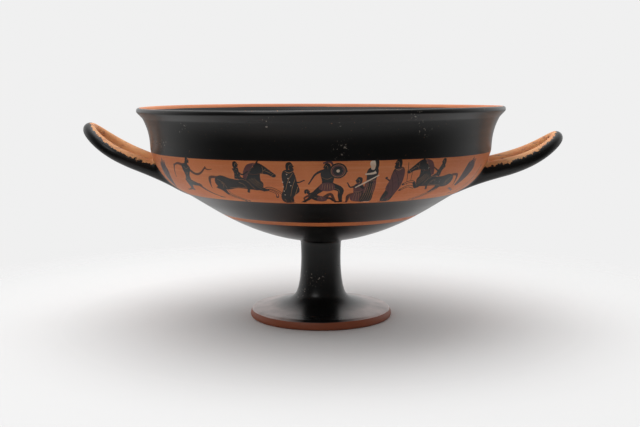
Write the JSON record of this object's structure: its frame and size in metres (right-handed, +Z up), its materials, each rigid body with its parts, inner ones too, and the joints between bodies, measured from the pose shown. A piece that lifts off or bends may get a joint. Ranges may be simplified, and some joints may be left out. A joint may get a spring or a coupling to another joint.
{
  "type": "kylix cup",
  "caption": "Wide shallow drinking cup of black-glazed clay with an offset lip, a stemmed disc foot, up-swept loop handles and a painted figure band.",
  "frame": {"origin": "on the floor, under the middle of the foot", "axes": "+Z up, through the stem; +X and -X point along the two handles; -Y is the side the picture shows"},
  "size_m": [0.369, 0.28, 0.1643],
  "materials": {
    "black_gloss": "satin black slip gloss with faint brush streaks, thin chips and flecks of bare clay",
    "orange_clay": "smooth burnished orange clay, slightly mottled"
  },
  "bodies": {
    "root": {"kylix": "black_gloss"}
  },
  "joints": []
}
